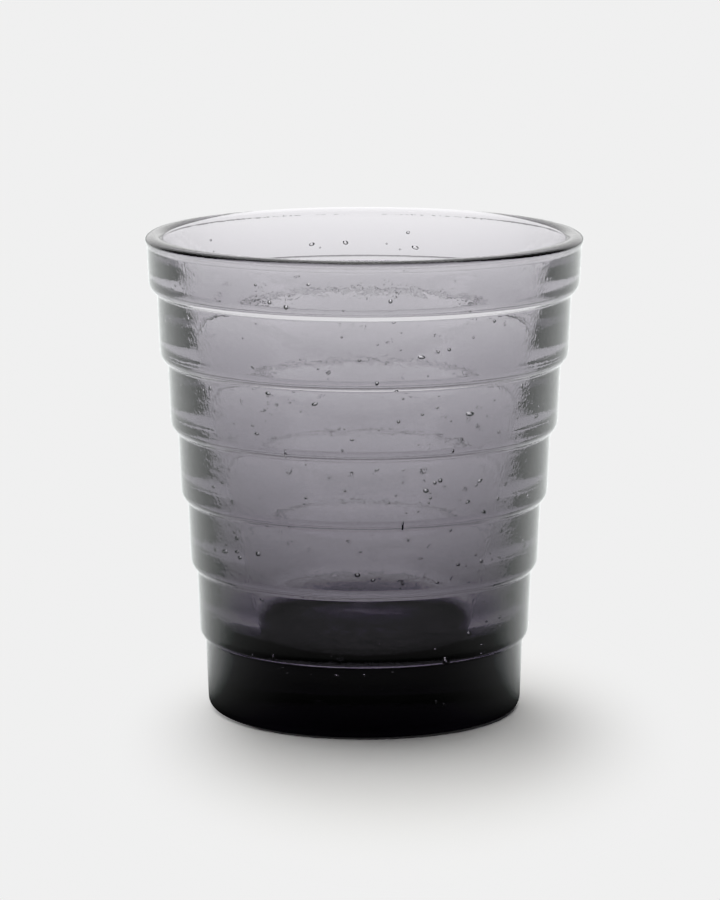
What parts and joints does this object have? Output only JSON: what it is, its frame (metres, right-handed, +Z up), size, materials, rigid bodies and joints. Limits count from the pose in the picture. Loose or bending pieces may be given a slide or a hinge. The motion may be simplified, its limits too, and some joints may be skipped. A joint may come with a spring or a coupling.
{
  "type": "whiskey tumbler",
  "caption": "Heavy smoke-grey pressed-glass whiskey tumbler: stepped rings narrow from the rounded rim to a thick solid foot, round a smooth tapered bowl.",
  "frame": {"origin": "centre of the foot, on the surface that the tumbler stands on", "axes": "+Z up along the axis of revolution, from the foot to the rim; X and Y are alike"},
  "size_m": [0.08, 0.08, 0.088],
  "materials": {
    "smoke_glass": "fire-polished gloss"
  },
  "bodies": {
    "root": {"glass_body": "smoke_glass"}
  },
  "joints": []
}
